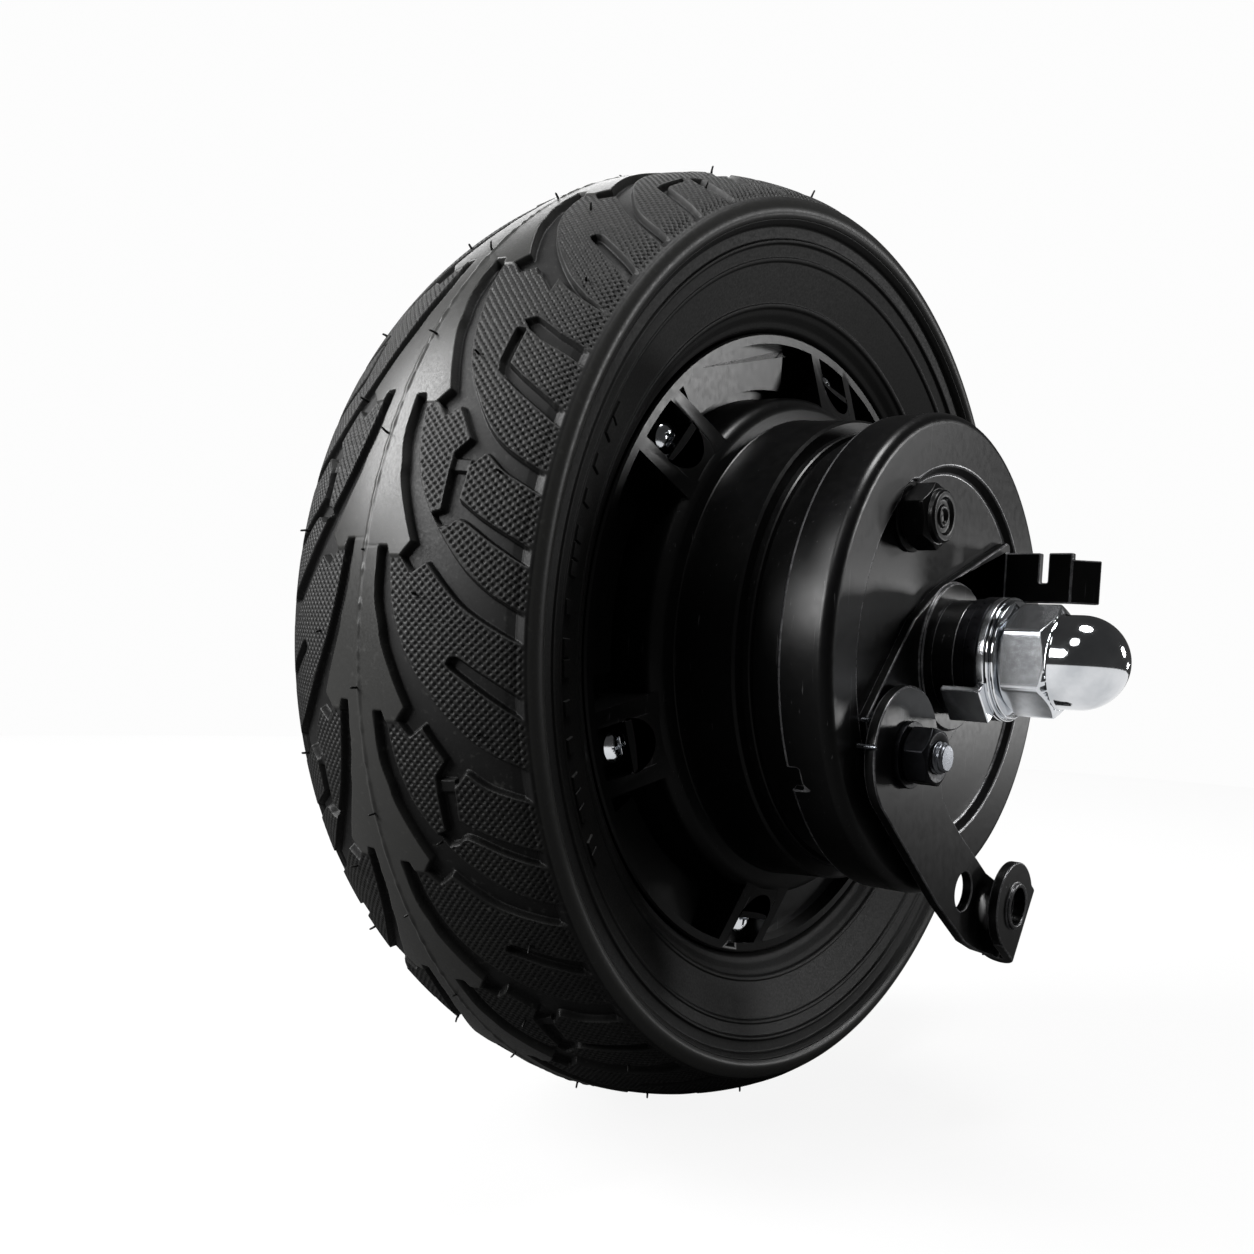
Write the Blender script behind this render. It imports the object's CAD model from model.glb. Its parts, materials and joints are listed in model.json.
import json
import math

import bmesh
import bpy
import numpy as np
from mathutils import Matrix, Vector

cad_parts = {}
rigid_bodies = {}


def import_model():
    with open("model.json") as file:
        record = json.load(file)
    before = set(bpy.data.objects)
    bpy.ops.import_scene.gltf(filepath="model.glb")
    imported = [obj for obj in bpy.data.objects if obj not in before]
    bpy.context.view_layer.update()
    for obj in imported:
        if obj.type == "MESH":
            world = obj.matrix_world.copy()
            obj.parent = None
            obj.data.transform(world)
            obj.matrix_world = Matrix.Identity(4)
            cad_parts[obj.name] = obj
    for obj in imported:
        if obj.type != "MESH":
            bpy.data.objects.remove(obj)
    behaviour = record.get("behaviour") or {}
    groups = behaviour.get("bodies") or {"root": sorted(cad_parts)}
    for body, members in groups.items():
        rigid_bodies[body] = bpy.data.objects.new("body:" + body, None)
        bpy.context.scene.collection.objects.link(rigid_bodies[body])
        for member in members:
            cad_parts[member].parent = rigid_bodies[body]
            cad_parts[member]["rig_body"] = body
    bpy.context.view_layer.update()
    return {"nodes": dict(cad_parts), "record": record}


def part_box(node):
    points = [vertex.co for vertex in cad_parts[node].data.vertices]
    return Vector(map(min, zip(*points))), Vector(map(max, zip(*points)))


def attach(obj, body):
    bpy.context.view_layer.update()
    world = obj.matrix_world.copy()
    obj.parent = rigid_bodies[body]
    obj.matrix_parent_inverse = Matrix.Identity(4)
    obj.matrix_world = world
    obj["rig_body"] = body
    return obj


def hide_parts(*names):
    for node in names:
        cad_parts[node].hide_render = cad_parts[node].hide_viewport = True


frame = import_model()
scene = bpy.context.scene
nodes = frame["nodes"]
rng = np.random.default_rng(7)
mm = 0.001


def at(x, z, h):  # the wheel spins about Y; h is the distance towards the brake side, all in millimetres
    return Vector((x, -h, z)) * mm


def linear(hexColour):
    parts = [int(hexColour[i:i + 2], 16) / 255 for i in (1, 3, 5)]
    return [c / 12.92 if c < 0.04045 else ((c + 0.055) / 1.055) ** 2.4 for c in parts] + [1.0]


def addNode(tree, kind, inputs=None, **settings):
    node = tree.nodes.new(kind)
    for name, value in settings.items():
        setattr(node, name, value)
    for name, value in (inputs or {}).items():
        if isinstance(value, bpy.types.NodeSocket):
            tree.links.new(value, node.inputs[name])
        else:
            node.inputs[name].default_value = value
    return node


def perMetre(sizeMm):  # the texture scale that gives features of this size
    return 1000.0 / sizeMm


def startMaterial(name, **uniform):
    mat = bpy.data.materials.new(name)
    mat.use_nodes = True
    shader = mat.node_tree.nodes["Principled BSDF"]
    for socket, value in uniform.items():
        shader.inputs[socket.replace("_", " ")].default_value = value
    place = addNode(mat.node_tree, "ShaderNodeTexCoord").outputs["Object"]
    return mat, mat.node_tree, shader, place


def finishSurface(tree, shader, place, look):
    # Colour clouds, a roughness that varies with the grain, and a fine relief, each from its real size
    clouds = addNode(tree, "ShaderNodeTexNoise",
                     {"Vector": place, "Scale": perMetre(look["cloudMm"]), "Detail": 4.0})
    grain = addNode(tree, "ShaderNodeTexNoise",
                    {"Vector": place, "Scale": perMetre(look["grainMm"]), "Detail": 3.0})
    share = addNode(tree, "ShaderNodeMapRange",
                    {"Value": clouds.outputs["Fac"], "From Min": 0.35, "From Max": 0.65})
    colour = addNode(tree, "ShaderNodeMix", {"Factor": share.outputs["Result"], "A": linear(look["dark"]),
                                             "B": linear(look["light"])}, data_type="RGBA")
    rough = addNode(tree, "ShaderNodeMapRange",
                    {"Value": grain.outputs["Fac"], "From Min": 0.3, "From Max": 0.7,
                     "To Min": look["rough"][0], "To Max": look["rough"][1]})
    bump = addNode(tree, "ShaderNodeBump", {"Height": grain.outputs["Fac"], "Strength": look["relief"],
                                            "Distance": look["grainMm"] * 0.1 * mm})
    tree.links.new(colour.outputs["Result"], shader.inputs["Base Color"])
    tree.links.new(rough.outputs["Result"], shader.inputs["Roughness"])
    tree.links.new(bump.outputs["Normal"], shader.inputs["Normal"])
    return colour.outputs["Result"], rough.outputs["Result"]


def simpleFinish(name, look, **uniform):
    mat, tree, shader, place = startMaterial(name, **uniform)
    finishSurface(tree, shader, place, look)
    return mat


def blackPaintOnCastAlloy():
    # Semi-gloss black paint over die-cast alloy: soft highlights, slight orange peel, dust and scratches
    mat, tree, shader, place = startMaterial("semi gloss black paint on die cast aluminium", IOR=1.5,
                                             Specular_IOR_Level=0.34)
    look = {"cloudMm": 18, "grainMm": 1.6, "dark": "#060606", "light": "#0b0b0c", "rough": (0.28, 0.34),
            "relief": 0.04}
    colour = finishSurface(tree, shader, place, look)[0]
    stretched = addNode(tree, "ShaderNodeMapping",
                        {"Vector": place, "Rotation": (0.3, 0.9, 0.5), "Scale": (1, 1, 0.03)})
    hairs = addNode(tree, "ShaderNodeTexNoise",
                    {"Vector": stretched.outputs["Vector"], "Scale": perMetre(0.5), "Detail": 2.0})
    scratch = addNode(tree, "ShaderNodeMapRange",
                      {"Value": hairs.outputs["Fac"], "From Min": 0.70, "From Max": 0.76})
    dust = addNode(tree, "ShaderNodeTexNoise", {"Vector": place, "Scale": perMetre(0.9), "Detail": 5.0})
    speck = addNode(tree, "ShaderNodeMapRange",
                    {"Value": dust.outputs["Fac"], "From Min": 0.70, "From Max": 0.78, "To Max": 0.35})
    marks = addNode(tree, "ShaderNodeMath", {0: scratch.outputs["Result"], 1: speck.outputs["Result"]},
                    operation="MAXIMUM")
    faint = addNode(tree, "ShaderNodeMath", {0: marks.outputs["Value"], 1: 0.25}, operation="MULTIPLY")
    marked = addNode(tree, "ShaderNodeMix", {"Factor": faint.outputs["Value"], "A": colour,
                                             "B": linear("#8a8a8c")}, data_type="RGBA")
    tree.links.new(marked.outputs["Result"], shader.inputs["Base Color"])
    return mat


def mouldedRubber(name, forTread):
    # Vulcanised tyre rubber: matt charcoal with the mould's fine grain; channels stay darker than worn tops
    mat, tree, shader, place = startMaterial(name, IOR=1.5, Specular_IOR_Level=0.3)
    look = {"cloudMm": 9, "grainMm": 0.45, "dark": "#0c0c0c", "light": "#131312", "rough": (0.5, 0.64),
            "relief": 0.22}
    colour, rough = finishSurface(tree, shader, place, look)
    if not forTread:
        return mat
    relief = addNode(tree, "ShaderNodeAttribute", attribute_name="relief").outputs["Fac"]
    polished = addNode(tree, "ShaderNodeAttribute", attribute_name="smoothBand").outputs["Fac"]
    deep = addNode(tree, "ShaderNodeMix", {"Factor": relief, "A": linear("#060606"), "B": colour},
                   data_type="RGBA").outputs["Result"]
    wornTop = addNode(tree, "ShaderNodeMix", {"Factor": polished, "A": deep, "B": linear("#333332")},
                      data_type="RGBA").outputs["Result"]
    chalk = addNode(tree, "ShaderNodeTexNoise", {"Vector": place, "Scale": perMetre(1.1), "Detail": 8.0})
    gloss = addNode(tree, "ShaderNodeMapRange", {"Value": polished, "To Max": -0.2})
    sheen = addNode(tree, "ShaderNodeMath", {0: rough, 1: gloss.outputs["Result"]}, operation="ADD")
    tree.links.new(sheen.outputs["Value"], shader.inputs["Roughness"])
    flecks = addNode(tree, "ShaderNodeMapRange", {"Value": chalk.outputs["Fac"], "From Min": 0.60,
                                                  "From Max": 0.80, "To Max": 0.28})
    dusty = addNode(tree, "ShaderNodeMix", {"Factor": flecks.outputs["Result"], "A": wornTop,
                                            "B": linear("#5d5d5b")}, data_type="RGBA")
    tree.links.new(dusty.outputs["Result"], shader.inputs["Base Color"])
    return mat


def chromePlate(name, rough, dark="#b9bcc0", light="#d4d6d9"):
    # Plating over turned steel: from near mirror to satin by its roughness, with a faint handling haze
    look = {"cloudMm": 7, "grainMm": 1.2, "dark": dark, "light": light, "rough": rough, "relief": 0.015}
    return simpleFinish(name, look, Metallic=1.0)


def laminatedSteel():
    # Punched electrical steel in 0.5 mm sheets, drawn at 1 mm so that the edges of the stack show
    mat, tree, shader, place = startMaterial("varnished electrical steel laminations", Metallic=0.9)
    look = {"cloudMm": 12, "grainMm": 0.6, "dark": "#3f4044", "light": "#5a5b60", "rough": (0.38, 0.55),
            "relief": 0.1}
    colour = finishSurface(tree, shader, place, look)[0]
    sheets = addNode(tree, "ShaderNodeTexWave",
                     {"Vector": place, "Scale": perMetre(1.0) / 2, "Distortion": 0.0}, bands_direction="Y")
    striped = addNode(tree, "ShaderNodeMix", {"Factor": sheets.outputs["Fac"], "A": linear("#2a2b2e"),
                                              "B": colour}, data_type="RGBA")
    tree.links.new(striped.outputs["Result"], shader.inputs["Base Color"])
    return mat


def enamelledCopper():
    # Enamelled winding wire, 0.8 mm thick: amber gloss in tight turns
    mat, tree, shader, place = startMaterial("enamelled copper winding wire", Metallic=0.85)
    look = {"cloudMm": 6, "grainMm": 0.8, "dark": "#9a4a1e", "light": "#c8713a", "rough": (0.22, 0.35),
            "relief": 0.1}
    finishSurface(tree, shader, place, look)
    turns = addNode(tree, "ShaderNodeTexWave",
                    {"Vector": place, "Scale": perMetre(0.8) / 2, "Distortion": 0.6},
                    bands_direction="DIAGONAL")
    ridge = addNode(tree, "ShaderNodeBump",
                    {"Height": turns.outputs["Fac"], "Strength": 0.8, "Distance": 0.3 * mm})
    tree.links.new(ridge.outputs["Normal"], shader.inputs["Normal"])
    return mat


blackPaint = blackPaintOnCastAlloy()
# Where a cast or pressed edge is rubbed, the paint is thin and the light alloy shows as a fine bright line
rubbedPaint = simpleFinish("black paint rubbed thin on cast edges",
                           {"cloudMm": 5, "grainMm": 1.2, "dark": "#4c4c4e", "light": "#8e8e90",
                            "rough": (0.22, 0.34), "relief": 0.1}, IOR=1.5, Metallic=0.4)
treadRubber = mouldedRubber("moulded tyre rubber on the tread", True)
wallRubber = mouldedRubber("moulded tyre rubber on the sidewall", False)
mirrorChrome = chromePlate("polished chrome plated steel", (0.06, 0.09))
satinChrome = chromePlate("satin chrome plated steel", (0.2, 0.24), "#c6c9cd", "#dcdee1")
screwChrome = chromePlate("bright zinc plated screw steel", (0.12, 0.18))
# Fine tool marks that spread a highlight into a soft grey gleam
machinedSteel = simpleFinish("turned carbon steel",
                             {"cloudMm": 8, "grainMm": 0.35, "dark": "#7d8086", "light": "#a0a3a8",
                              "rough": (0.24, 0.38), "relief": 0.1}, Metallic=1.0)
# Nearly a mirror, with hardly any grain
bearingSteel = simpleFinish("ground bearing steel",
                            {"cloudMm": 5, "grainMm": 0.3, "dark": "#a3a6ab", "light": "#bfc2c6",
                             "rough": (0.08, 0.16), "relief": 0.04}, Metallic=1.0)
# Plated magnets: a dull silver with slight pits
nickelPlate = simpleFinish("nickel plated neodymium",
                           {"cloudMm": 4, "grainMm": 0.7, "dark": "#8f9296", "light": "#adb0b4",
                            "rough": (0.2, 0.33), "relief": 0.08}, Metallic=1.0)
# Soft black without a sharp highlight
sealRubber = simpleFinish("moulded nitrile rubber",
                          {"cloudMm": 5, "grainMm": 0.4, "dark": "#141414", "light": "#1e1e1e",
                           "rough": (0.45, 0.6), "relief": 0.2}, IOR=1.5)
# Warm yellow with handling stains
brass = simpleFinish("pressed brass",
                     {"cloudMm": 6, "grainMm": 0.6, "dark": "#8f6a2c", "light": "#b98d45",
                      "rough": (0.25, 0.4), "relief": 0.1}, Metallic=1.0)
# Blue-black with an oily gleam
blackOxide = simpleFinish("black oxide steel",
                          {"cloudMm": 6, "grainMm": 0.7, "dark": "#161618", "light": "#26272a",
                           "rough": (0.28, 0.42), "relief": 0.14}, Metallic=0.9)
# A dark grey gloss, a little lighter than the paint beside it
darkZinc = simpleFinish("black zinc plated steel",
                        {"cloudMm": 9, "grainMm": 0.8, "dark": "#1d1d20", "light": "#303034",
                         "rough": (0.26, 0.4), "relief": 0.12}, Metallic=0.9)
# A pebbled light grey with no clear reflection
castAluminium = simpleFinish("shot blasted cast aluminium",
                             {"cloudMm": 10, "grainMm": 0.6, "dark": "#8d8f92", "light": "#a9abae",
                              "rough": (0.42, 0.58), "relief": 0.3}, Metallic=1.0)
# A lacquered deep green
solderMask = simpleFinish("green solder mask on glass epoxy",
                          {"cloudMm": 4, "grainMm": 0.5, "dark": "#0c3a1e", "light": "#14522c",
                           "rough": (0.3, 0.42), "relief": 0.15}, IOR=1.5)
# Matt brown with pale fibres and brass swarf
brakeLining = simpleFinish("moulded friction lining",
                           {"cloudMm": 1.2, "grainMm": 0.5, "dark": "#3a302a", "light": "#6e5f52",
                            "rough": (0.75, 0.92), "relief": 0.5}, IOR=1.5)
# Bright wire with a narrow highlight along it
springSteel = simpleFinish("drawn spring steel wire",
                           {"cloudMm": 3, "grainMm": 0.3, "dark": "#6b6e73", "light": "#8f9297",
                            "rough": (0.2, 0.32), "relief": 0.08}, Metallic=1.0)
laminations = laminatedSteel()
copperWire = enamelledCopper()
print("materials made")


def newObject(name, mesh):
    obj = bpy.data.objects.new(name, mesh)
    scene.collection.objects.link(obj)
    return obj


def meshFrom(name, verts, faces):
    mesh = bpy.data.meshes.new(name)
    mesh.from_pydata([tuple(v) for v in verts], [], faces)
    mesh.update()
    return mesh


def bakeModifiers(obj):
    bpy.context.view_layer.update()
    done = bpy.data.meshes.new_from_object(obj.evaluated_get(bpy.context.evaluated_depsgraph_get()))
    old = obj.data
    obj.modifiers.clear()
    obj.data = done
    bpy.data.meshes.remove(old)


def softenEdges(obj, widthMm, angleDeg=28, segments=3):
    # Every real edge is rounded a little. Broad faces keep their own normals, so only the rounds catch the
    # light, and a second finish on the piece goes on the rounds.
    for poly in obj.data.polygons:
        poly.use_smooth = True
    if widthMm:
        bevel = obj.modifiers.new("edges", "BEVEL")
        bevel.width = widthMm * mm
        bevel.segments = segments
        bevel.limit_method = "ANGLE"
        bevel.angle_limit = math.radians(angleDeg)
        bevel.use_clamp_overlap = "casting" in obj.name or "screws" in obj.name  # their edges are short
        bevel.miter_outer = "MITER_ARC"
        bevel.material = 1 if len(obj.data.materials) > 1 else -1
    weighted = obj.modifiers.new("normals", "WEIGHTED_NORMAL")
    weighted.weight = 60
    weighted.keep_sharp = True
    bakeModifiers(obj)


def putOn(obj, body, slot, material, *replaced):
    if not obj.data.materials:
        obj.data.materials.append(material)
    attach(obj, body)
    for node in replaced:
        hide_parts(node)
    return obj


def fromNode(node, name, material, widthMm=0.3, angleDeg=28, segments=3, change=None):
    # A better copy of a CAD node: the same solid with its edges rounded
    source = nodes[node]
    bm = bmesh.new()
    bm.from_mesh(source.data)
    bmesh.ops.remove_doubles(bm, verts=bm.verts, dist=2e-6)
    if change:
        change(bm)
    bmesh.ops.dissolve_limit(bm, angle_limit=math.radians(0.4), verts=bm.verts, edges=bm.edges)
    mesh = bpy.data.meshes.new(name)
    bm.to_mesh(mesh)
    bm.free()
    mesh.materials.clear()
    mesh.materials.append(material)
    if material == blackPaint:
        mesh.materials.append(rubbedPaint)
    obj = newObject(name, mesh)
    softenEdges(obj, widthMm, angleDeg, segments)
    slotName = next(part["material_slot"] for part in frame["record"]["subparts"] if part["node"] == node)
    return putOn(obj, source["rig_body"], slotName, material, node)


def rounded(outline, radius, steps=3):
    # The outline with each corner turned into a short arc
    points = [np.array(p, float) for p in outline]
    done = []
    for i, p in enumerate(points):
        before, after = points[i - 1] - p, points[(i + 1) % len(points)] - p
        toBefore, toAfter = max(np.linalg.norm(before), 1e-6), max(np.linalg.norm(after), 1e-6)
        reach = min(radius, toBefore * 0.45, toAfter * 0.45)
        a = p + before / toBefore * reach
        b = p + after / toAfter * reach
        for k in range(steps + 1):
            t = k / steps
            done.append((1 - t) ** 2 * a + 2 * t * (1 - t) * p + t * t * b)
    return done


def turned(name, outline, segments=256, centre=(0, 0), corner=0.0):
    # A ring turned about the axle, or about a line beside it, from a closed outline of (radius, height).
    # The outline may also be a function of the angle, for hexagons and threads.
    angles = [2 * math.pi * i / segments for i in range(segments)]
    loops = [outline(a) if callable(outline) else outline for a in angles]
    if corner:
        loops = [rounded(loop, corner) for loop in (loops if callable(outline) else loops[:1])]
        loops *= segments // len(loops)
    n = len(loops[0])
    verts = [at(centre[0] + r * math.cos(a), centre[1] + r * math.sin(a), h)
             for a, loop in zip(angles, loops) for r, h in loop]
    faces = []
    for i in range(segments):
        here, there = i * n, (i + 1) % segments * n
        faces += [(here + j, here + (j + 1) % n, there + (j + 1) % n, there + j) for j in range(n)]
    obj = newObject(name, meshFrom(name, verts, faces))
    faceOutwards(obj)
    softenEdges(obj, 0)
    return obj


def faceOutwards(obj):
    bm = bmesh.new()
    bm.from_mesh(obj.data)
    bmesh.ops.recalc_face_normals(bm, faces=bm.faces)
    bm.to_mesh(obj.data)
    bm.free()


tyre = {
    "radius": 100.0, "crownRadius": 56.3,
    "channelDepth": 1.55, "blockDrop": 0.22, "wallMm": 0.42,  # the lobes in the middle stand a little proud
    "pitMm": 1.05, "pitDepth": 0.26,  # the fine pitted texture on the blocks
    "tieBarDepth": 0.9,
    "runOut": (30.2, 32.0),  # where the channels end on the shoulder
    "columns": 2700, "stepMm": 0.22, "halfWidth": 36.4, "sectors": 12,
    "skin": 2.4, "skinSpans": 9,  # the hidden underside of a tread sector is coarse
    "burrHeight": (0.10, 0.22), "burrWidth": (0.22, 0.22),  # the least, and how much more it may be
    "otherSideShift": 0.8,  # degrees between the two sides' patterns
    "ring": "LZSZSZSZLZSLZSZLZSLZLS", "ringStart": 138.0,
    "pitch": {"S": 15.6, "Z": 15.6, "L": 18.3},  # degrees; an uneven order of three blocks keeps a tyre quiet
}
mmPerDegree = 2 * math.pi * tyre["radius"] / 360


def smoothLine(points, steps=5):
    # A smooth line through a few points
    p = np.array([points[0], *points, points[-1]], float)
    t = np.linspace(0, 1, steps, endpoint=False)[:, None]
    parts = [b + 0.5 * t * (c - a + t * (2 * a - 5 * b + 4 * c - d + t * (3 * (b - c) + d - a)))
             for a, b, c, d in zip(p, p[1:], p[2:], p[3:])]
    return [tuple(q) for q in np.vstack([*parts, p[-1:]])]


# Tread outlines in (millimetres from the middle, degrees round the wheel); each pitch starts at 0 degrees


def lobeOutline(pitch):
    k = pitch / 15.6
    edge = smoothLine([(3.35, 0), (3.75, 4.5 * k), (5.0, 7.2 * k), (5.7, 9 * k), (8.3, 12.5 * k),
                       (10.35, pitch - 0.6)])
    return [(-6, -0.3), (3.35, -0.3), *edge, (8.1, pitch + 0.95), (5.7, pitch + 0.95), (5.1, pitch),
            (-6, pitch)]


channelEdge = smoothLine([(5.7, 0.6), (6.5, 3.9), (8.05, 7.1), (10.4, 10.1), (14.7, 13.7), (20.4, 17.4),
                          (25, 19.5), (28, 20.5), (33, 22)])
longChannelEdge = smoothLine([(5.7, 0.6), (6.5, 4.4), (7.9, 7.6), (9.7, 11.7), (11.9, 15), (15, 17.8),
                              (20, 21.6), (25, 23.8), (33, 25.8)])
crest = [(13.5, 1.1), (12.8, 1.4), (10.7, 2.2), (8.3, 0.6)]  # the notched top that every block starts with


def evenBlock():
    top = smoothLine([(33, 9.1), (27.8, 7.6), (21.1, 5.3), (17.2, 3.25), (13.5, 1.1)])
    slot = [(18.5, 10.7), (19.0, 10.2), (20.0, 10.1), (20.7, 10.3), (30, 13.7), (33, 14.8), (33, 16.9),
            (30.1, 15.7), (25, 13.6), (19.2, 11.2)]
    return [[*channelEdge, *top, *crest[1:]]], [slot], []


def splitBlock():
    joint = [(13.3, 12.2), (15, 11.9), (15, 7.7), (15.1, 6.1), (17.3, 4.5), (13.9, 1.6)]
    inner = [*[p for p in channelEdge if p[0] < 13.2], (13.2, 12.6), *joint, *crest]
    outer = [*smoothLine([(18, 7.2), (18.9, 6.8), (20, 6.1), (20.9, 5.85), (24.4, 7.4), (30.1, 8.9),
                          (33, 9.9)]),
             *smoothLine([(33, 15.4), (27.8, 14), (22.2, 12.4), (17.6, 10.75)])]
    lower = [(13.0, 12.3), (15, 13.4), *smoothLine([(16.7, 13.2), (18.9, 12.65), (25, 14.7), (33, 17.2)]),
             *reversed([p for p in channelEdge if p[0] > 13.2])]
    tieBar = [(14.6, 6.4), (18.4, 6.4), (18.4, 8), (14.6, 8)]
    return [inner, outer, lower], [], [tieBar]


def longBlock():
    top = [*smoothLine([(33, 5.8), (27.8, 5.1), (22.2, 3.7), (19, 2.3)]), (19, 4.4), (15.4, 2.3),
           (14.7, 2.2)]
    slot = [(18, 8.8), (19.9, 8.2), (25, 9.7), (29.4, 10.6), (33, 11.4), (33, 13.2), (29.4, 12.2),
            (22.2, 10.7), (19.4, 9.7)]
    hook = [(17.4, 9.9), (18.9, 9.9), (18.9, 14.2), (22.2, 15.5), (29.4, 17.9), (33, 18.8), (33, 20.7),
            (30.1, 19.7), (22.2, 17), (18, 15.3), (17.4, 14.0)]
    return [[*longChannelEdge, *top, *crest]], [slot, hook], []


def distanceInto(outline, s, t):
    # How far each point lies inside a closed outline, in millimetres, and negative outside it
    corners = np.array(outline) * (1, mmPerDegree)
    t = t * mmPerDegree
    nearest = np.full(s.shape, 1e9)
    inside = np.zeros(s.shape, bool)
    for (x0, y0), (x1, y1) in zip(corners, np.roll(corners, -1, axis=0)):
        ex, ey = x1 - x0, y1 - y0
        along = np.clip(((s - x0) * ex + (t - y0) * ey) / (ex * ex + ey * ey + 1e-12), 0, 1)
        nearest = np.minimum(nearest, (s - x0 - along * ex) ** 2 + (t - y0 - along * ey) ** 2)
        inside ^= ((y0 > t) != (y1 > t)) & (s - x0 < ex * (t - y0) / (ey if abs(ey) > 1e-9 else 1e-9))
    return np.where(inside, 1, -1) * np.sqrt(nearest)


def soften(x):
    x = np.clip(x, 0, 1)
    return x * x * (3 - 2 * x)


def treadHalf(rows):
    # Lobe and block distances for the whole ring on one side
    step = 360 / tyre["columns"]
    lobes = np.full((len(rows), tyre["columns"]), -5.0)
    blocks, bars = lobes.copy(), lobes.copy()
    span = np.arange(-3, 47, step)
    s, t = np.meshgrid(rows, span, indexing="ij")
    shapes = {"S": evenBlock, "Z": splitBlock, "L": longBlock}
    stamps = {}
    for kind, shape in shapes.items():
        solids, slots, ties = shape()
        lobe = distanceInto(lobeOutline(tyre["pitch"][kind]), s, t)
        block = np.max([distanceInto(o, s, t) for o in solids], axis=0)
        for o in slots:
            block = np.minimum(block, -distanceInto(o, s, t))
        bar = np.max([distanceInto(o, s, t) for o in ties], axis=0) if ties else np.full(s.shape, -5.0)
        stamps[kind] = (lobe, block, bar)
    start, total = tyre["ringStart"], sum(tyre["pitch"][k] for k in tyre["ring"])
    for kind in tyre["ring"]:
        columns = (round(start / step) + np.round(span / step).astype(int)) % tyre["columns"]
        for whole, stamp in zip((lobes, blocks, bars), stamps[kind]):
            whole[:, columns] = np.maximum(whole[:, columns], stamp)
        start += tyre["pitch"][kind] * 360 / total
    return lobes, blocks, bars


def treadRelief(rows):
    # Height of one side's tread above the crown line, how high each point is in its channel, and where
    # the rubber is smooth
    lobes, blocks, bars = treadHalf(rows)
    wall = tyre["wallMm"]
    begin, end = tyre["runOut"]
    s = rows[:, None]
    degrees = np.arange(tyre["columns"])[None, :] * 360 / tyre["columns"]
    fading = -tyre["channelDepth"] * 0.65 * soften((end - s) / (end - begin))
    floor = np.where(s < begin, -tyre["channelDepth"], fading)
    floor = np.minimum(floor, -tyre["blockDrop"]) + 0 * degrees
    onLobe, onBlock, onBar = (soften(d / wall + 0.5) for d in (lobes, blocks, bars))
    floor = np.maximum(floor, -tyre["tieBarDepth"] * onBar - 9 * (1 - onBar))  # far below where there is no bar
    repeats = round(360 * mmPerDegree / (tyre["pitMm"] * math.sqrt(2)))
    across, around = s * 2 * math.pi / (tyre["pitMm"] * math.sqrt(2)), np.radians(degrees) * repeats
    pits = soften((np.cos(across + around) * 0.5 + np.cos(across - around) * 0.5 - 0.05) / 0.7)
    textured = soften((blocks - 0.35) / 0.3) * (1 - soften((lobes + 0.5) / 0.3))
    textured = textured * soften((end - 0.2 - s) / 0.4)
    top = -tyre["blockDrop"] - tyre["pitDepth"] * pits * textured
    top = top - 0.16 * np.exp(-((s - begin) / 0.16) ** 2) * textured
    height = floor + (top - floor) * onBlock
    height = np.maximum(height, floor + (0 - floor) * onLobe)
    return height, np.maximum(onLobe, onBlock), np.maximum(onLobe, soften((s - end) / 0.3) + 0 * onLobe)


def crownPoint(s):
    # The tyre's outline, (radius, height), at a distance s from its middle along the surface
    a = np.linspace(0, math.asin(27 / tyre["crownRadius"]), 80)
    crown = np.stack([tyre["radius"] - tyre["crownRadius"] * (1 - np.cos(a)),
                      tyre["crownRadius"] * np.sin(a)], 1)
    edge = smoothLine([crown[-1], (91.1, 29.8), (89.5, 30.85), (88, 31.0), (86.8, 30.4), (85.9, 29.4)], 12)
    line = np.vstack([crown, edge[1:]])
    length = np.concatenate([[0], np.cumsum(np.linalg.norm(np.diff(line, axis=0), axis=1))])
    r, h = (np.interp(np.abs(s), length, line[:, i]) for i in (0, 1))
    return np.stack([r, np.sign(s) * h], 1)


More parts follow.
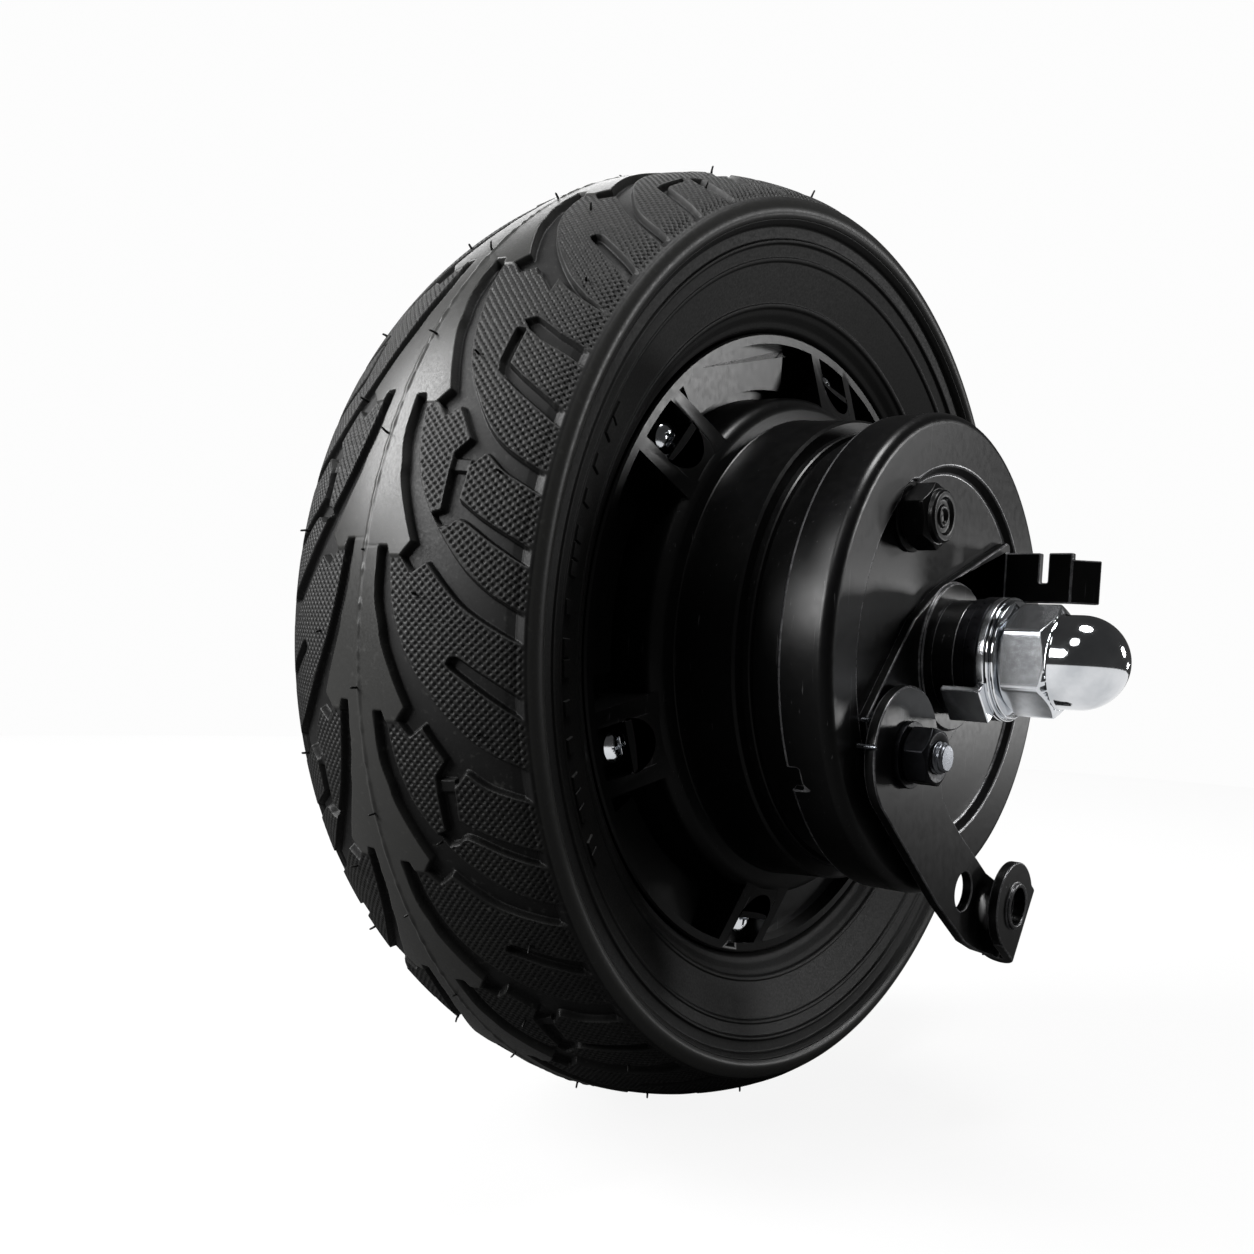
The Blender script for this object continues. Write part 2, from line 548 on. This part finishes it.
def makeTread():
    count = int(tyre["halfWidth"] / tyre["stepMm"])
    half = np.arange(0, count + 1) * tyre["halfWidth"] / count
    height, relief, smooth = treadRelief(half)
    shift = round(tyre["otherSideShift"] / 360 * tyre["columns"])
    both = [np.vstack([np.roll(x, -shift, axis=1)[:0:-1], x]) for x in (height, relief, smooth)]
    height, relief, smooth = both
    s = np.concatenate([-half[:0:-1], half])
    columns = tyre["columns"]
    phi = np.arange(columns) * 2 * math.pi / columns
    jag = np.interp(np.arange(columns), np.arange(0, columns, 5), rng.random(columns // 5), period=columns)
    (leastHigh, moreHigh), (leastWide, moreWide) = tyre["burrHeight"], tyre["burrWidth"]
    burr = np.exp(-(s[:, None] / (leastWide + moreWide * jag[None, :])) ** 2)
    height = height + burr * (leastHigh + moreHigh * jag[None, :])  # flash along the mould's parting line
    relief = relief * (1 - 0.75 * burr)
    line = crownPoint(s)
    slope = np.gradient(line, axis=0)
    normal = np.stack([slope[:, 1], -slope[:, 0]], 1) / np.linalg.norm(slope, axis=1)[:, None]
    r = line[:, 0:1] + normal[:, 0:1] * height
    h = line[:, 1:2] + normal[:, 1:2] * height
    points = np.stack([r * np.cos(phi), -h, r * np.sin(phi)], -1) * mm
    down = np.gradient(points, axis=0)
    across = (np.roll(points, -1, axis=1) - np.roll(points, 1, axis=1)) / 2
    facing = np.cross(across, down)
    facing /= np.linalg.norm(facing, axis=2, keepdims=True)
    outward = np.stack([np.cos(phi) * normal[:, 0:1], -normal[:, 1:2] + 0 * phi,
                        np.sin(phi) * normal[:, 0:1]], -1)
    facing *= np.sign((facing * outward).sum(2, keepdims=True))
    under = points - outward * tyre["skin"] * mm
    width, rows = columns // tyre["sectors"], len(s)
    spans = tyre["skinSpans"]
    for k in range(tyre["sectors"]):
        pick = np.arange(k * width, (k + 1) * width + 1) % columns
        n, every = len(pick), width // spans
        grid = np.arange(rows * n).reshape(rows, n)
        back = rows * n + np.arange(rows * (spans + 1)).reshape(rows, spans + 1)
        top = np.stack([grid[:-1, :-1], grid[:-1, 1:], grid[1:, 1:], grid[1:, :-1]], -1)
        bottom = np.stack([back[:-1, :-1], back[1:, :-1], back[1:, 1:], back[:-1, 1:]], -1)
        quads = top.reshape(-1, 4).tolist() + bottom.reshape(-1, 4).tolist()
        quads += np.stack([grid[1:, 0], back[1:, 0], back[:-1, 0], grid[:-1, 0]], -1).tolist()
        quads += np.stack([grid[:-1, -1], back[:-1, -1], back[1:, -1], grid[1:, -1]], -1).tolist()
        for j in range(spans):
            run = slice(j * every, (j + 1) * every + 1)
            quads.append([*grid[0, run][::-1].tolist(), back[0, j], back[0, j + 1]])
            quads.append([*grid[-1, run].tolist(), back[-1, j + 1], back[-1, j]])
        name = f"tyre_tread_{k + 1:02d}"
        hidden = pick[::every]
        verts = np.vstack([points[:, pick].reshape(-1, 3), under[:, hidden].reshape(-1, 3)])
        mesh = meshFrom(name, verts, quads)
        for label, field in (("relief", relief), ("smoothBand", smooth)):
            values = np.concatenate([field[:, pick].ravel(), np.zeros(back.size)]).astype(np.float32)
            mesh.attributes.new(label, "FLOAT", "POINT").data.foreach_set("value", values)
        normals = np.vstack([facing[:, pick].reshape(-1, 3), -outward[:, hidden].reshape(-1, 3)])
        mesh.polygons.foreach_set("use_smooth", np.ones(len(mesh.polygons), bool))
        mesh.normals_split_custom_set_from_vertices(normals)
        putOn(newObject(name, mesh), "wheel", "tyre", treadRubber, "tyre")


def makeCarcass():
    # Both sidewalls, the beads and the tongue that locks in the rim, under the tread
    wall = [(86.9, 30.3), (85.9, 29.35), (85.6, 28.75), (84.0, 28.5), (83.4, 28.45), (83.15, 28.8),
            (82.6, 28.65), (82.4, 28.1), (80.2, 27.3), (79.9, 27.45), (79.4, 27.2), (79.2, 26.85),
            (74.6, 24.9), (71.9, 23.75), (71.6, 23.95), (71.0, 23.7), (70.7, 23.2), (69.7, 22.6),
            (68.4, 21.5), (67.2, 20.85), (66.5, 19.4), (66.4, 8.0), (62.1, 7.9)]
    under = [(88.5, 24.0), (94.0, 14.0)]
    outline = [*under[::-1], *wall, *[(r, -h) for r, h in wall[::-1]], *[(r, -h) for r, h in under],
               (96.0, 0.0)]
    putOn(turned("tyre_carcass", outline, 420, corner=0.35), "wheel", "tyre", wallRubber, "tyre")


def wallHeight(r):  # the sidewall's surface at a radius
    return np.interp(r, (69.7, 74.6, 79.2, 82.4), (22.6, 24.9, 26.85, 28.1))


def block(verts, faces, corners, lift):
    # A raised pad: its foot on the surface, its top a little smaller and lifted
    foot = [Vector(c) for c in corners]
    middle = sum(foot, Vector()) / len(foot)
    first, n = len(verts), len(foot)
    verts += [c - lift * 0.5 for c in foot] + [c + (middle - c) * 0.16 + lift for c in foot]
    faces += [tuple(first + n + i for i in range(n)), tuple(first + i for i in reversed(range(n)))]
    faces += [(first + i, first + (i + 1) % n, first + n + (i + 1) % n, first + n + i) for i in range(n)]


bars = {"radius": 77.2, "width": 3.0, "lift": 0.45, "gap": 2.6,  # the gap is in degrees
        "starts": (148, 328), "lengths": (7, 3, 3, 9, 3, 7, 3, 3, 9, 5)}
vents = {"count": 88, "length": (1.2, 2.3), "rows": (0.0, 12.5, -12.5, 0.0, 24.0, -24.0), "sides": 7}


def makeWallMarks():
    # Plain raised bars round both sidewalls, where a tyre has its moulded marks
    verts, faces = [], []
    r0, r1 = bars["radius"] - bars["width"] / 2, bars["radius"] + bars["width"] / 2
    for side in (1, -1):
        for start in bars["starts"]:
            a = start
            for length in bars["lengths"]:
                sweep = math.degrees(length / bars["radius"])
                pieces = max(1, round(length / 3))
                for k in range(pieces):
                    ends = [math.radians(a + sweep * (k + q) / pieces) for q in (0, 1)]
                    corners = [at(r * math.cos(t), r * math.sin(t), side * float(wallHeight(r)))
                               for r, t in ((r0, ends[0]), (r1, ends[0]), (r1, ends[1]), (r0, ends[1]))]
                    block(verts, faces, corners, at(0, 0, side * bars["lift"]))
                a += sweep + bars["gap"]
    obj = newObject("tyre_wall_marks", meshFrom("tyre_wall_marks", verts, faces))
    faceOutwards(obj)
    softenEdges(obj, 0.1)
    putOn(obj, "wheel", "tyre", wallRubber, "tyre")


def makeVents():
    # The whiskers that the mould's vent holes leave on the tread
    verts, faces = [], []
    n = vents["sides"]
    for i in range(vents["count"]):
        s = vents["rows"][i % len(vents["rows"])] + rng.normal(0, 0.5)
        phi = 2 * math.pi * (i + 0.4 * rng.random()) / vents["count"]
        r, h = crownPoint(np.array([s]))[0]
        tilt = s / 56
        out = Vector((math.cos(phi) * math.cos(tilt), -math.sin(tilt), math.sin(phi) * math.cos(tilt)))
        side = out.orthogonal().normalized()
        root = at(r * math.cos(phi), r * math.sin(phi), h) - out * 0.6 * mm
        lean = (side * rng.normal(0, 0.3) + out.cross(side) * rng.normal(0, 0.3)) * mm
        length, first = rng.uniform(*vents["length"]), len(verts)
        for part, thick in ((0.0, 0.28), (0.5, 0.22), (0.9, 0.2), (1.0, 0.1)):
            for k in range(n):
                turn = Matrix.Rotation(2 * math.pi * k / n, 3, out) @ side
                verts.append(root + out * length * part * mm + lean * part * part + turn * thick * mm)
        for foot in (first, first + n, first + 2 * n):
            faces += [(foot + k, foot + (k + 1) % n, foot + n + (k + 1) % n, foot + n + k) for k in range(n)]
        faces += [tuple(first + k for k in reversed(range(n))), tuple(first + 3 * n + k for k in range(n))]
    obj = newObject("tyre_vent_whiskers", meshFrom("tyre_vent_whiskers", verts, faces))
    faceOutwards(obj)
    softenEdges(obj, 0)
    putOn(obj, "wheel", "tyre", wallRubber, "tyre")


makeTread()
makeCarcass()
makeWallMarks()
makeVents()
print("tyre made")

edged = [  # node, new piece, finish, edge radius in millimetres
    ("brake_side_cover", "brake_side_casting", blackPaint, 0.45),
    ("plain_side_cover", "plain_side_casting", blackPaint, 0.45),
    ("brake_plate", "brake_back_plate", blackPaint, 0.35),
    ("cable_bracket", "cable_stop_bracket", blackPaint, 0.3),
    ("brake_lever", "brake_arm", blackPaint, 0.3),
    ("axle_spacer", "axle_spacer_ring", blackPaint, 0.3),
    ("dark_washers", "black_washers", darkZinc, 0.2),
    ("tab_washer", "eared_washer", satinChrome, 0.25),
    ("chrome_washers", "bright_washers", mirrorChrome, 0.15),
    ("brake_side_screws", "cover_screws_brake_side", screwChrome, 0.12),
    ("plain_side_screws", "cover_screws_plain_side", screwChrome, 0.12),
    ("plain_spacer", "plain_spacer_ring", blackPaint, 0.3),
    ("plain_tab_washer", "plain_eared_washer", mirrorChrome, 0.25),
    ("plain_washer", "plain_flat_washer", mirrorChrome, 0.2),
    ("wire_grommet", "wire_grommet_sleeve", sealRubber, 0.3),
    ("lever_washer", "arm_washer", blackOxide, 0.15),
    ("hub_shell", "hub_middle_shell", blackPaint, 0.25),
]
for node, name, finish, width in edged:
    fromNode(node, name, finish, width)


def hexRadius(angle, acrossFlats, turn=0.0):
    # The radius of a hexagon whose corners are a little rounded
    power = 46
    total = sum(max(0.0, math.cos(angle - turn - k * math.pi / 3)) ** power for k in range(6))
    return acrossFlats / 2 / total ** (1 / power)


def nutOutline(across, bore, low, high, turn=0.0, crown=()):
    # One nut's outline at each angle: a 30 degree chamfer cuts the corners, and crown is what stands on top
    def outline(angle):
        r = hexRadius(angle, across, turn)
        edge = across / 2 - 0.35
        top = high - (r - edge) * math.tan(math.radians(30))
        foot = low + max(0.0, r - across / 2) * 0.5
        return [(bore, low), (across / 2 - 0.2, low), (r, foot + 0.25), (r, top), (edge, high), *crown,
                (bore, high - 0.2)]
    return outline


def threadOutline(radius, pitch, low, high, inner):
    # A helical thread between two heights; the inner radius is hidden by what it sits on
    depth = 0.58 * pitch

    def outline(angle):
        steps = int((high - low) / pitch * 8)
        points = [(inner, high), (inner, low)]
        for k in range(steps + 1):
            h = low + (high - low) * k / steps
            wave = abs(((h / pitch - angle / (2 * math.pi)) % 1) * 2 - 1)
            ends = min(1.0, (high - h) / pitch, (h - low) / pitch + 0.4)
            points.append((radius - depth * (1 - soften(wave * 1.15) * ends), h))
        return points
    return outline


def middleOf(node):
    low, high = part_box(node)
    return (low.x + high.x) / 2 / mm, (low.z + high.z) / 2 / mm


def heightsOf(node):
    low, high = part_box(node)
    return -high.y / mm, -low.y / mm


axleNut = {"across": 19.0, "bore": 6.05, "hexHeight": 9.0, "domeRadius": 8.9, "corner": 0.22}
leverNut = {"across": 10.0, "bore": 3.0, "turn": 18, "corner": 0.15}


def makeNuts():
    # Domed nut on the brake end: satin hexagon, polished dome
    low, high = heightsOf("acorn_nut")
    domeR, hexTop = axleNut["domeRadius"], low + axleNut["hexHeight"]
    arch = [(domeR * math.cos(math.radians(q)), high - domeR + domeR * math.sin(math.radians(q)))
            for q in range(0, 90, 5)]
    crown = [(domeR + 0.25, hexTop), (domeR, hexTop + 0.5), *arch, (0.02, high), (0.02, high - 1.2),
             (axleNut["bore"], hexTop + 3)]
    domed = nutOutline(axleNut["across"], axleNut["bore"], low, hexTop, crown=crown)
    obj = turned("dome_nut", domed, 288, corner=axleNut["corner"])
    putOn(obj, "axle", "screw_chrome", mirrorChrome, "acorn_nut")
    obj.data.materials.append(satinChrome)
    for face in obj.data.polygons:
        if -face.center.y / mm < hexTop + 0.1:
            face.material_index = 1
    low, high = heightsOf("plain_nut")
    plain = nutOutline(axleNut["across"], axleNut["bore"], -high, -low)
    obj = turned("plain_hex_nut", lambda a: [(r, -h) for r, h in plain(a)], 240, corner=axleNut["corner"])
    putOn(obj, "axle", "screw_chrome", satinChrome, "plain_nut")
    low, high = heightsOf("lever_nut")
    small = nutOutline(leverNut["across"], leverNut["bore"], low, high, math.radians(leverNut["turn"]))
    obj = turned("arm_nut", small, 192, middleOf("lever_nut"), leverNut["corner"])
    putOn(obj, "lever", "black_steel", blackOxide, "lever_nut")


def makeTorqueNut():
    # A flanged nut in the plate's recess, with the bolt's dimpled end standing out of it
    face = heightsOf("brake_plate")[1] - 1.5
    x, z = middleOf("torque_bolt")
    end = [(4.95, 6.0), (4.9, 6.9), (4.5, 7.3), (3.5, 7.25), (3.1, 6.7), (2.2, 6.65), (1.9, 7.1), (1.4, 7.05),
           (1.1, 6.5), (0.02, 6.5)]
    shape = nutOutline(11.0, 0.02, face + 1.0, face + 6.0, math.radians(8), [(r, face + h) for r, h in end])
    flange = [(0.02, face), (6.5, face), (6.6, face + 0.7)]
    obj = turned("torque_bolt_nut", lambda a: [*flange, *shape(a)[1:-1], (0.02, face + 3)], 192, (x, z), 0.14)
    putOn(obj, "axle", "cast_black", blackPaint, "torque_bolt")


def thinEnd(low, high, radius, centre, keep):
    # Turns the plain end of a copied shaft down to a thread's root
    def change(bm):
        for v in bm.verts:
            h, x, z = -v.co.y / mm, v.co.x / mm - centre[0], v.co.z / mm - centre[1]
            r = math.hypot(x, z)
            if low < h < high and radius - 0.3 < r < radius + 0.1:
                v.co.x = (centre[0] + x / r * keep) * mm
                v.co.z = (centre[1] + z / r * keep) * mm
    return change


def makeShafts():
    end = heightsOf("axle")[0]
    plainEnd = thinEnd(end - 1, end + 0.5, 6.0, (0, 0), 5.3)
    fromNode("axle", "axle_shaft", machinedSteel, 0.2, change=plainEnd)
    thread = turned("axle_end_thread", threadOutline(6.0, 1.25, end + 0.2, end + 10.3, 5.0), 128)
    putOn(thread, "axle", "steel", machinedSteel)
    low, high = heightsOf("brake_cam")
    centre = middleOf("lever_washer")
    stud = thinEnd(high - 0.5, high + 1, 3.0, centre, 2.4)
    fromNode("brake_cam", "cam_spindle", machinedSteel, 0.2, change=stud)
    tip = threadOutline(3.0, 1.0, high - 3.2, high - 0.1, 2.0)
    putOn(turned("cam_spindle_thread", tip, 96, centre), "lever", "steel", machinedSteel)


pocket = {"screws": 6, "turn": 18.96, "centreR": 58.8, "halfWidth": 5.2, "floor": 18.2,
          "footR": 50.5, "footH": 26.2, "rimR": 64.3, "rimH": 20.9}


def makePocketEnds():
    # Each screw pocket ends in a half round, with a land between it and the bell's foot
    slope = (pocket["footH"] - pocket["rimH"]) / (pocket["rimR"] - pocket["footR"])
    verts, faces = [], []
    for k in range(pocket["screws"]):
        turn = math.radians(pocket["turn"] + k * 360 / pocket["screws"])
        wide = pocket["halfWidth"] + 0.06
        outline = [(51.0, wide), (pocket["centreR"], wide)]
        outline += [(pocket["centreR"] + pocket["halfWidth"] * math.cos(math.radians(a)),
                     pocket["halfWidth"] * math.sin(math.radians(a))) for a in range(90, 271, 6)]
        outline += [(pocket["centreR"], -wide), (51.0, -wide)]
        start, n = len(verts), len(outline)
        for side in (0, 1):
            for u, w in outline:
                top = pocket["footH"] - slope * (math.hypot(u, w) - pocket["footR"])
                x, z = u * math.cos(turn) - w * math.sin(turn), u * math.sin(turn) + w * math.cos(turn)
                verts.append(at(x, z, top if side else pocket["floor"]))
        faces += [(start + i, start + (i + 1) % n, start + n + (i + 1) % n, start + n + i)
                  for i in range(n)]
        faces += [tuple(range(start, start + n)), tuple(range(start + n, start + 2 * n))]
    obj = newObject("screw_pocket_ends", meshFrom("screw_pocket_ends", verts, faces))
    faceOutwards(obj)
    obj.data.materials.append(blackPaint)
    obj.data.materials.append(rubbedPaint)
    softenEdges(obj, 0.3, 40)
    putOn(obj, "wheel", "cast_black", blackPaint)


makePocketEnds()
makeNuts()
makeTorqueNut()
makeShafts()
print("hub pieces made")

# What is sealed inside keeps its CAD shape and takes its own finish
inside = {
    "drum_liner": machinedSteel, "rotor_iron": machinedSteel, "rotor_magnets": nickelPlate,
    "outer_race_brake_side": bearingSteel, "outer_race_plain_side": bearingSteel,
    "inner_race_brake_side": bearingSteel, "inner_race_plain_side": bearingSteel,
    "balls_brake_side": bearingSteel, "balls_plain_side": bearingSteel,
    "cage_brake_side": brass, "cage_plain_side": brass,
    "seal_brake_side": sealRubber, "seal_plain_side": sealRubber,
    "stator_carrier": castAluminium, "stator_core": laminations, "stator_coils": copperWire,
    "hall_sensor_board": solderMask, "brake_sleeve": machinedSteel, "anchor_pin": machinedSteel,
    "cam_bush": brass, "lever_spring": springSteel, "shoe_spring": springSteel,
    "upper_shoe": castAluminium, "lower_shoe": castAluminium,
    "upper_lining": brakeLining, "lower_lining": brakeLining,
}
for node, finish in inside.items():
    for place in nodes[node].material_slots:
        place.material = finish

studio = {
    "floorHex": "#4a4a4a", "floorRadius": 0.9, "floorGlow": 0.9,
    "backdrop": 0.98, "fill": 0.05,  # how bright the surroundings look, and how much they light the wheel
    # name: (azimuth, elevation, distance in metres, size in metres, watts)
    "lamps": {"left": (132, 34, 1.0, 0.55, 13), "side": (158, 20, 1.0, 0.35, 6),
              "key": (-178, 50, 1.1, 0.4, 1.5), "top": (-75, 80, 0.9, 0.32, 5),
              "front": (-43, 15, 1.2, 0.25, 2.6), "low": (-30, -1, 1.2, 0.12, 0.9),
              "back": (50, 35, 1.3, 0.8, 6)},
}
# Matt board with a slight tooth: no reflection of the wheel, a soft shadow only
floorMat, floorTree, floorShader, floorPlace = startMaterial("matt white studio board",
                                                             Specular_IOR_Level=0.1)
finishSurface(floorTree, floorShader, floorPlace,
              {"cloudMm": 300, "grainMm": 3, "dark": studio["floorHex"], "light": "#4e4e4e",
               "rough": (0.85, 0.95), "relief": 0.02})
floorShader.inputs["Emission Color"].default_value = linear("#ffffff")
floorShader.inputs["Emission Strength"].default_value = studio["floorGlow"]
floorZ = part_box("tyre")[0].z
disc = [(studio["floorRadius"] * math.cos(math.radians(a)), studio["floorRadius"] * math.sin(math.radians(a)),
         floorZ) for a in range(0, 360, 3)]
floor = newObject("floor", meshFrom("floor", disc, [tuple(range(len(disc)))]))
floor.data.materials.append(floorMat)
glowSeenBy = bpy.data.collections.new("pieces that mirror the floor")  # its glow would turn black parts grey
for obj in scene.objects:
    if obj.type == "MESH" and {mirrorChrome, satinChrome, screwChrome} & set(obj.data.materials):
        glowSeenBy.objects.link(obj)
floor.light_linking.receiver_collection = glowSeenBy

world = bpy.data.worlds.new("studio")
world.use_nodes = True
scene.world = world
seen = addNode(world.node_tree, "ShaderNodeLightPath").outputs["Is Camera Ray"]
brightness = addNode(world.node_tree, "ShaderNodeMapRange", {"Value": seen, "To Min": studio["fill"],
                                                             "To Max": studio["backdrop"]})
surroundings = world.node_tree.nodes["Background"]
surroundings.inputs["Color"].default_value = linear("#ffffff")
world.node_tree.links.new(brightness.outputs["Result"], surroundings.inputs["Strength"])
for name, (azimuth, elevation, away, size, watts) in studio["lamps"].items():
    lamp = bpy.data.lights.new(name, "AREA")
    lamp.energy, lamp.size, lamp.shape = watts, size, "DISK"
    obj = newObject(name, lamp)
    a, e = math.radians(azimuth), math.radians(elevation)
    direction = Vector((math.cos(a) * math.cos(e), math.sin(a) * math.cos(e), math.sin(e)))
    obj.location = direction * away
    obj.rotation_euler = direction.to_track_quat("Z", "Y").to_euler()

# The camera turns about the wheel's centre, then steps aside by right and up, in millimetres
view = {"azimuth": -51.71, "elevation": 3.98, "roll": 2.53, "distance": 290.15, "right": -13.15,
        "up": -19.17, "lens": 36.49, "shift": (-0.016, 0.0797)}
az, el, roll = (math.radians(view[k]) for k in ("azimuth", "elevation", "roll"))
right = Vector((math.cos(az), math.sin(az), 0))
back = Vector((math.sin(az) * math.cos(el), -math.cos(az) * math.cos(el), math.sin(el)))
up = back.cross(right)
camera = bpy.data.cameras.new("camera")
camera.lens, camera.sensor_width, camera.clip_start = view["lens"], 36.0, 0.01
camera.shift_x, camera.shift_y = view["shift"]
cameraObject = newObject("camera", camera)
imageRight = right * math.cos(roll) + up * math.sin(roll)
imageUp = up * math.cos(roll) - right * math.sin(roll)
cameraObject.matrix_world = Matrix((imageRight, imageUp, back)).transposed().to_4x4()
cameraObject.location = (right * view["right"] + up * view["up"] + back * view["distance"]) * mm
scene.camera = cameraObject
scene.view_settings.view_transform = "Standard"
print("stage made")
